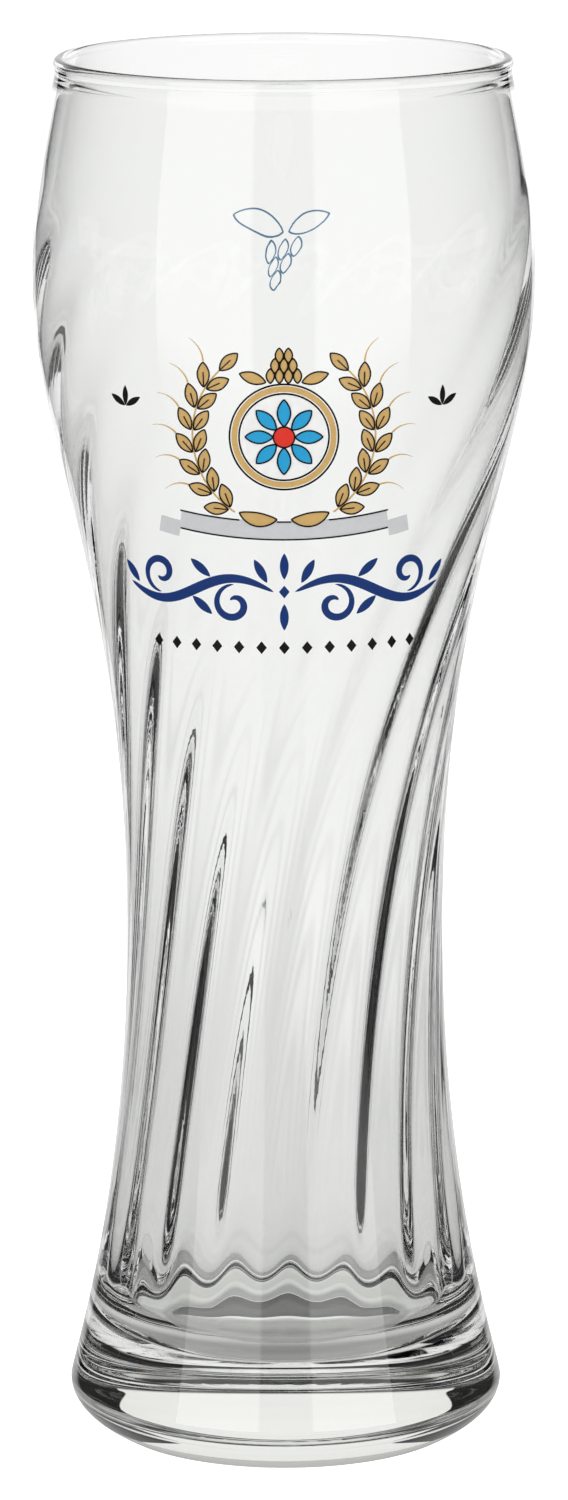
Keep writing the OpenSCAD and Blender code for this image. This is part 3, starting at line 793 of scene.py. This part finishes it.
class GLASS_OT_body(bpy.types.Operator):
    """Spin the glass and press the swirled ribs into its inner wall"""

    bl_idname = "glass.body"
    bl_label = "Glass"

    def execute(self, context):
        g = shape()
        outline = Outline(g)
        piece = revolve("glass", outline.profile(), g.ribs * TURNS_PER_RIB)
        shell = bmesh.from_edit_mesh(piece.data)
        for v in shell.verts:
            x, y, z = v.co
            r = hypot(x, y)
            inside = g.floor_z - TOUCH < z < g.rib_top_z and r > TOUCH
            if not inside or r > outline.outer(z) - outline.thickness(z) / 2:
                continue
            reach = ease((r - outline.floor_r) / g.floor_fillet) if z < outline.well_z else 1
            height = (reach * outline.rib_height(max(z, outline.well_z))
                      * ease((z - g.floor_z) / g.rib_rise))
            turn = outline.rib_turn(z)
            bearing = Vector((x, y)).angle_signed(Vector((cos(turn), sin(turn))))
            grown = r + height * cos(g.ribs * bearing)
            v.co.x, v.co.y = x * grown / r, y * grown / r
        bmesh.update_edit_mesh(piece.data)
        finish_piece(piece, glass_material(), "clear_glass", "glass_body", sharp=60)
        return {"FINISHED"}


class GLASS_OT_gold(bpy.types.Operator):
    """Print the gold of the wreath: ears, leaves, hop cone and medal rim"""

    bl_idname = "glass.gold"
    bl_label = "Gold print"

    def execute(self, context):
        a = art()
        forms = [ring(wreath(), a.medal_r - a.medal_rim / 2, a.medal_rim / 2)]
        forms += both(line(arc(wreath(), a.ear_r, EAR_START, EAR_END, steps=40), a.line))
        for seat, turn, outside in grains():
            forms += both(leaf(seat, turn, a.grain_l, a.grain_w))
            if outside:
                forms += both(bristle(seat, turn))
        for form in gold_leaves():
            forms += both(form)
        forms += front_cone()
        fire("gold_print", "print_gold", "gold_enamel", colours().gold, forms, OVER_RIBBON,
             roughness=0.3, mottle=0.16)
        return {"FINISHED"}


class GLASS_OT_medal(bpy.types.Operator):
    """Print the medal's white field, sky blue petals and red eye"""

    bl_idname = "glass.medal"
    bl_label = "Medal"

    def execute(self, context):
        c = colours()
        eye = disc(wreath(), art().eye_r, steps=16, columns=4)
        fire("white_print", "print_white", "white_enamel", c.white, [disc(wreath(), field_r())], 0)
        fire("blue_print", "print_blue", "sky_blue_enamel", c.blue, list(petals()), 1)
        fire("red_print", "print_red", "red_enamel", c.red, [eye], 1)
        return {"FINISHED"}


class GLASS_OT_ribbon(bpy.types.Operator):
    """Print the bare silver-grey ribbon under the wreath"""

    bl_idname = "glass.ribbon"
    bl_label = "Ribbon"

    def execute(self, context):
        a = art()
        half = a.ribbon_l / 2
        forms = [line(ribbon_path(-half, half, steps=48, lift=0), a.ribbon_w / 2)]
        end = half + a.tail_l * TAIL_SHOWN
        tail = ribbon_path(half + a.space, end, steps=8, lift=-a.ribbon_w / 2)
        forms += both(line(tail, a.ribbon_w * TAIL_HALF))
        fire("grey_print", "print_grey", "silver_grey_enamel", colours().grey, forms, 0,
             roughness=0.38)
        return {"FINISHED"}


class GLASS_OT_scrollwork(bpy.types.Operator):
    """Print the navy scrollwork under the ribbon"""

    bl_idname = "glass.scrollwork"
    bl_label = "Scrollwork"

    def execute(self, context):
        a = art()
        vine = [vine_at(t) for t in shares(VINE_STEPS)]
        forms = both(band(vine, swell(a.vine_half, VINE_STEPS, VINE_POWER)))
        for crest, up in ((0.25, 1), (0.75, -1)):
            middle = shifted(vine_at(crest), 0, -up * (a.spiral_r + a.vine_half + a.space))
            path = spiral(middle, a.spiral_r, a.spiral_r / 4, up * 90, -up * SPIRAL_END,
                          VINE_STEPS)
            halves = swell(a.vine_half * SPIRAL_SLIM, VINE_STEPS, VINE_POWER)
            forms += both(band(path, halves))
        for share, turn in SPRIGS:
            step = (a.vine_half + a.space) * (1 if turn > 0 else -1)
            forms += both(leaf(shifted(vine_at(share), 0, step), turn, a.sprig_l, a.sprig_w))
        middle = (0, a.scroll_z)
        for up in (1, -1):
            start = shifted(middle, 0, up * a.diamond_h)
            forms.append(leaf(start, up * 90, a.sprig_l, a.sprig_w))
        forms.append(diamond(middle, a.diamond_w, a.diamond_h))
        fire("navy_print", "print_navy", "navy_enamel", colours().navy, forms, 0)
        return {"FINISHED"}


class GLASS_OT_outlines(bpy.types.Operator):
    """Print the black outlines, the row of diamonds and the side sprigs"""

    bl_idname = "glass.outlines"
    bl_label = "Black print"

    def medal_lines(self, fine):
        a = art()
        return [ring(wreath(), a.medal_r + a.space + a.line, a.line),
                ring(wreath(), field_r() + a.space + a.line, a.line),
                ring(wreath(), a.eye_r + a.space / 2, fine)]

    def wreath_lines(self, fine):
        a = art()
        for seat, turn, _ in grains():
            yield from both(edge_line(leaf(seat, turn, a.grain_l, a.grain_w), fine))
            vein = [seat, round_at(turn, a.grain_l * VEIN_SHARE, seat)]
            yield from both(line(vein, fine * FINE_SHARE))
        for form in gold_leaves():
            yield from both(edge_line(form, fine))
        for form in (*front_cone(), *petals()):
            yield edge_line(form, fine)

    def ribbon_lines(self, fine):
        """Both edges of the ribbon. The upper one stops where the leaves lie over it."""
        a = art()
        half, edge = a.ribbon_l / 2, a.ribbon_w / 2 - fine
        root = a.leaf_w / 2
        tip = root + a.leaf_l * cos(radians(FOOT_LEAF_TURN))
        yield line(ribbon_path(-half, half, steps=48, lift=-edge), fine)
        for start, end in ((-half, -tip), (-root, root), (tip, half)):
            yield line(ribbon_path(start, end, steps=20, lift=edge), fine)

    def execute(self, context):
        a = art()
        fine = a.line * FINE_SHARE
        forms = [*self.medal_lines(fine), *self.wreath_lines(fine), *self.ribbon_lines(fine)]
        for t in shares(a.row_count - 1):
            forms.append(diamond((a.row_l * (t - 0.5), a.row_z), a.diamond_w, a.diamond_h))
        for turn in (90 + SIDE_SPREAD, 90, 90 - SIDE_SPREAD):
            start = round_at(turn, a.space, (a.side_s, a.side_z))
            forms += both(leaf(start, turn, a.side_leaf, a.side_leaf / 3))
        fire("black_print", "print_black", "black_enamel", colours().black, forms, 2,
             roughness=0.25)
        return {"FINISHED"}


class GLASS_OT_rear(bpy.types.Operator):
    """Print the small pale blue hop cone on the far side"""

    bl_idname = "glass.rear"
    bl_label = "Rear print"

    def execute(self, context):
        a = art()
        foot = (0, a.rear_z + a.rear_h / 2)
        gap = 4 * a.line
        scales = cone_scales(foot, a.rear_h, a.rear_w, across=3, up=-1, gap=gap)
        forms = [edge_line(scale, a.line) for scale in scales]
        seat = shifted(foot, gap, a.rear_leaf_w / 3)
        side = leaf(seat, CONE_LEAF_TURN, a.rear_leaf, a.rear_leaf_w)
        forms += both(edge_line(side, a.line))
        fire("pale_print", "rear_print", "pale_blue_enamel", colours().pale, forms, 0, rear=True)
        return {"FINISHED"}


def bright_part(x, y, z):
    """One in the bright middle of the screen and the table, and nothing at their sides."""
    s = stage()
    wider = (s.spread * (abs(y) - s.even)).math("MAXIMUM", 0.0).math("MINIMUM", s.widest)
    reach = abs(x) - wider - s.rise * z
    return reach.fade(s.bright_half, s.dark_half, 1.0, 0.0)


def screen_tone(x, y, z):
    s = stage()
    up = z.fade(s.bright_top, s.dark_top, 1.0, 0.0)
    return s.room + (s.screen - s.room) * bright_part(x, y, z) * up


def ceiling_tone(x, y, z):
    s = stage()
    return s.room + (s.ceiling - s.room) * abs(x).fade(
        s.ceiling_half / 2, s.ceiling_half, 1.0, 0.0)


def table_tone(x, y, z):
    s = stage()
    near = y.fade(0.0, s.table_end, s.table_near, s.screen)
    behind = y.fade(-s.table_front, 0.0, 0.0, 1.0)
    away = (x * x + y * y).math("SQRT")
    # Painted shadow: the table card's glow is dimmed under the glass's foot
    shade = away.fade(shape().rest_r, shape().foot_r, s.painted_foot_shadow, 1.0)
    return s.room + (1 - s.room) * near * bright_part(x, y, z) * behind * shade


def lamp_tone(x, y, z):
    """Both lamps' edges run straight at the glass, so their pool of light goes on in line."""
    s = stage()
    before = abs(y)
    aside = abs(x) / before
    inner = aside.fade(s.lamp_in, s.lamp_in + s.lamp_soft, 0.0, s.lamps)
    outer = aside.fade(s.lamp_out - s.lamp_soft, s.lamp_out, 1.0, 0.0)
    return inner * outer * before.fade(s.pool_from, s.pool_full, 0.0, 1.0)


class GLASS_OT_stage(bpy.types.Operator):
    """Set the camera, floor, room, lamps and the glowing cards that only the glass sees"""

    bl_idname = "glass.stage"
    bl_label = "Stage"

    def camera(self):
        s = stage()
        data = bpy.data.cameras.new("camera")
        data.lens, data.sensor_width = s.lens, s.sensor
        camera = bpy.data.objects.new("camera", data)
        bpy.context.collection.objects.link(camera)
        camera.location = (s.camera_x, -s.camera_y, s.camera_z)
        camera.rotation_euler = (pi / 2 - s.pitch, 0, 0)
        camera.rotation_euler.rotate_axis("Z", s.roll)
        bpy.context.scene.camera = camera

    def floor(self):
        s = stage()
        deselect()
        bpy.ops.mesh.primitive_plane_add(size=s.floor_size, location=(0, 0, -s.floor_drop))
        floor = bpy.context.object
        floor.name = "floor"
        r = new_material("floor")
        r.set(Base_Color=(*colours().floor, 1), Roughness=0.9)
        glow = r.glow(WHITE, r.ray("Is Camera Ray") * s.floor_glow)
        r.show(r.node("ShaderNodeAddShader", r.body, glow))
        floor.data.materials.append(r.made)

    def room(self):
        """A room that is white to the camera, softer to the floor and dim to the glass."""
        s = stage()
        world = bpy.data.worlds.new("white_room")
        bpy.context.scene.world = world
        r = Recipe(world)
        seen, felt = r.ray("Is Camera Ray"), r.ray("Is Diffuse Ray")
        level = s.room + (1 - s.room) * seen + (s.ambient - s.room) * felt
        r.set(Color=WHITE, Strength=level)

    def stand(self):
        """What the cards stand on. It turns with the camera, so they stay round its view."""
        stand = bpy.data.objects.new("card_stand", None)
        bpy.context.collection.objects.link(stand)
        look = stand.constraints.new("LOCKED_TRACK")
        look.target = bpy.context.scene.camera
        look.track_axis, look.lock_axis = "TRACK_NEGATIVE_Y", "LOCK_Z"
        return stand

    def card(self, name, stand, low, high, tone):
        """A glowing card that only glass sees. Tone gives its brightness from its place."""
        deselect()
        bpy.ops.mesh.primitive_grid_add(x_subdivisions=2, y_subdivisions=2, size=1)
        card = bpy.context.object
        card.name = name
        for v in card.data.vertices:
            across, along = v.co.x + 0.5, v.co.y + 0.5
            v.co = [a + (b - a) * share for a, b, share in zip(
                low, high, (across, along, along))]
        r = new_material(name)
        level = tone(*(r.along(axis) for axis in "XYZ"))
        grey = r.node("ShaderNodeCombineColor", level, level, level)
        r.show(r.glow(grey, 1.0))
        card.parent = stand
        card.data.materials.append(r.made)
        card.visible_camera = card.visible_diffuse = card.visible_shadow = False
        return card

    def cards(self):
        """A bright screen, ceiling and table, and before the glass two lamps and their pool."""
        s = stage()
        stand = self.stand()
        half, gap, reach = s.card_half, s.screen_gap, s.lamp_out * s.lamp_y
        self.card("screen", stand, (-half, gap, s.screen_low), (half, gap, s.screen_high),
                  screen_tone)
        self.card("ceiling", stand, (-half, -s.ceiling_front, s.ceiling_z),
                  (half, gap, s.ceiling_z), ceiling_tone)
        self.card("table", stand, (-half, -half, -s.table_drop), (half, gap, -s.table_drop),
                  table_tone)
        mirrored = [
            self.card("lamps", stand, (-reach, -s.lamp_y, 0), (reach, -s.lamp_y, s.lamp_z),
                      lamp_tone),
            self.card("pool", stand, (-reach, -s.lamp_y, -s.pool_drop),
                      (reach, -s.pool_from, -s.pool_drop), lamp_tone)]
        for card in mirrored:
            card.visible_transmission = False

    def lamp(self, name, place, size, watts):
        data = bpy.data.lights.new(name, "AREA")
        data.shape, data.size, data.size_y, data.energy = "RECTANGLE", *size, watts
        lamp = bpy.data.objects.new(name, data)
        bpy.context.collection.objects.link(lamp)
        lamp.location = place
        lamp.visible_glossy = lamp.visible_transmission = False
        aim = Vector((0, 0, shape().height / 2)) - Vector(place)
        lamp.rotation_euler = aim.to_track_quat("-Z", "Y").to_euler()

    def execute(self, context):
        s = stage()
        self.camera()
        self.floor()
        self.room()
        self.cards()
        for name, side in (("key_left", -1), ("key_right", 1)):
            place = (side * s.key_x, -s.key_y, s.key_z)
            self.lamp(name, place, (s.key_wide, s.key_high), s.key_watts)
        self.lamp("top", (0, s.top_y, s.top_z), (s.top_size, s.top_size), s.top_watts)
        context.scene.view_settings.view_transform = "Standard"
        cycles = context.scene.cycles
        cycles.max_bounces = cycles.glossy_bounces = cycles.transmission_bounces = s.bounces
        return {"FINISHED"}


STEPS = (GLASS_OT_stage, GLASS_OT_body, GLASS_OT_gold, GLASS_OT_medal, GLASS_OT_ribbon,
         GLASS_OT_scrollwork, GLASS_OT_outlines, GLASS_OT_rear)


class GLASS_PT_panel(bpy.types.Panel):
    bl_label = "Wheat beer glass"
    bl_idname = "GLASS_PT_panel"
    bl_space_type = "VIEW_3D"
    bl_region_type = "UI"
    bl_category = "Glass"

    def draw(self, context):
        for step in STEPS:
            self.layout.operator(step.bl_idname)


GROUPS = {"glass_shape": GlassShape, "print_shape": PrintShape,
          "glass_colours": GlassColours, "stage_sizes": StageSizes}


def register():
    for cls in (*GROUPS.values(), *STEPS, GLASS_PT_panel):
        bpy.utils.register_class(cls)
    for key, group in GROUPS.items():
        setattr(bpy.types.Scene, key, PointerProperty(type=group))


def unregister():
    for key in GROUPS:
        delattr(bpy.types.Scene, key)
    for cls in (GLASS_PT_panel, *reversed(STEPS), *reversed(GROUPS.values())):
        bpy.utils.unregister_class(cls)


def main():
    register()
    for step in STEPS:
        getattr(bpy.ops.glass, step.bl_idname.split(".")[1])()


if __name__ == "__main__":
    main()
